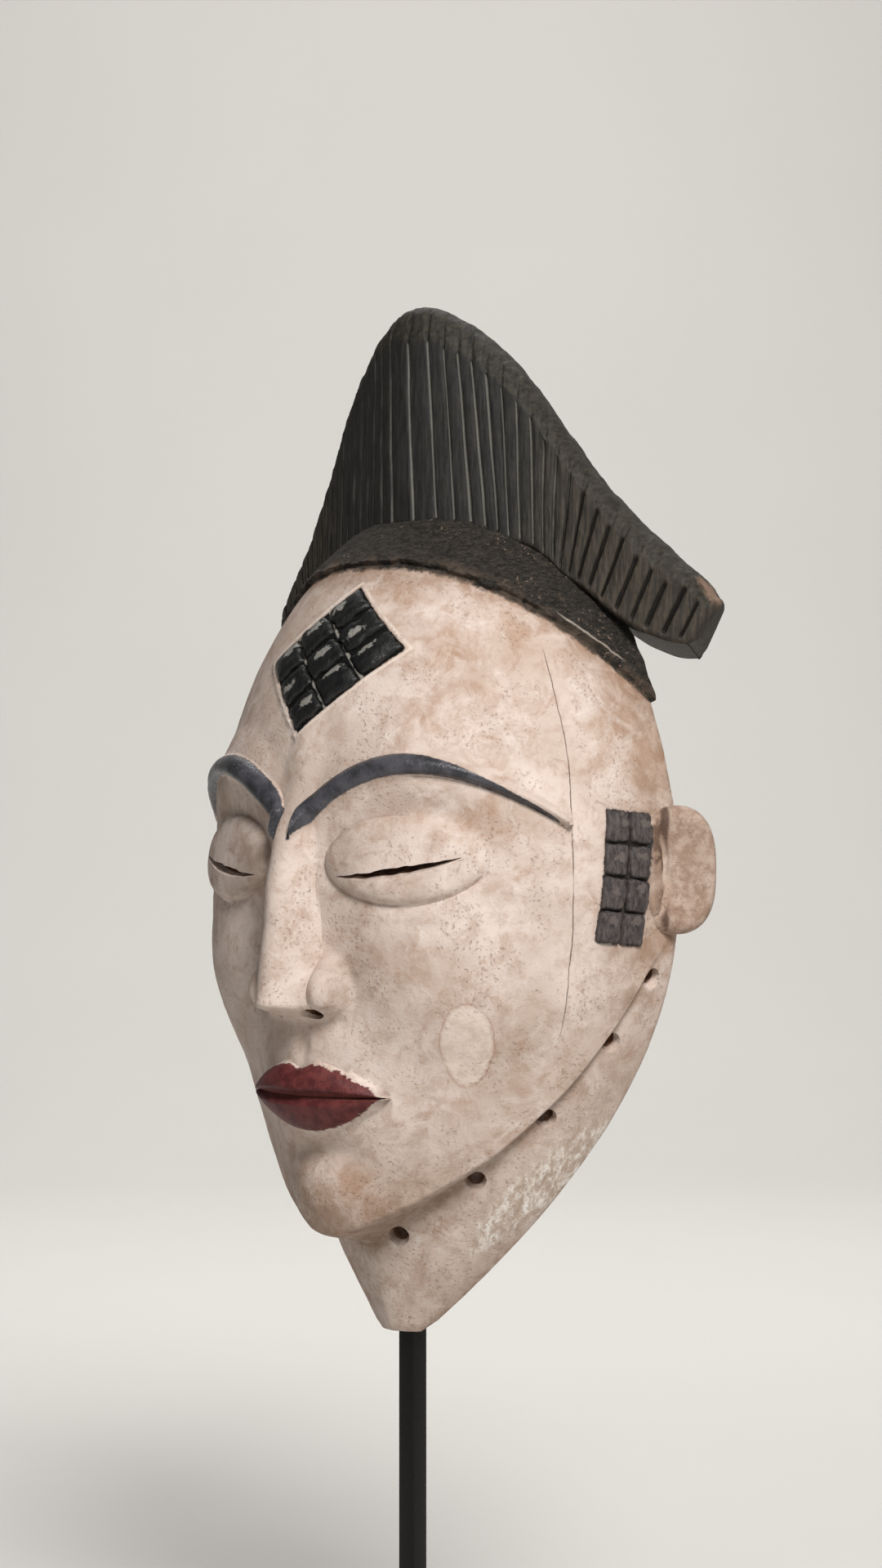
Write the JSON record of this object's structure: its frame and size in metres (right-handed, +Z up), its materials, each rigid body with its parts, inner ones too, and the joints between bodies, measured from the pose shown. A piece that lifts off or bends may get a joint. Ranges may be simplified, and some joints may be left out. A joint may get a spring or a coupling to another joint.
{
  "type": "carved face mask on a rod stand",
  "caption": "Pale painted wooden face mask with a high grooved black crest, raised dark squares on brow and temples, on a square black steel rod with a flat foot.",
  "frame": {"origin": "the middle of the foot's underside", "axes": "+Z up, the face looks along -Y, +X is the mask's own left"},
  "size_m": [0.1768, 0.124, 0.42],
  "materials": {
    "carved_wood": "white clay paint over carved wood, black crest and hair, brown stains, matt",
    "black_steel": "gloss black lacquer"
  },
  "bodies": {
    "root": {"mask": "carved_wood", "stand_rod": "black_steel", "stand_foot": "black_steel"}
  },
  "joints": []
}
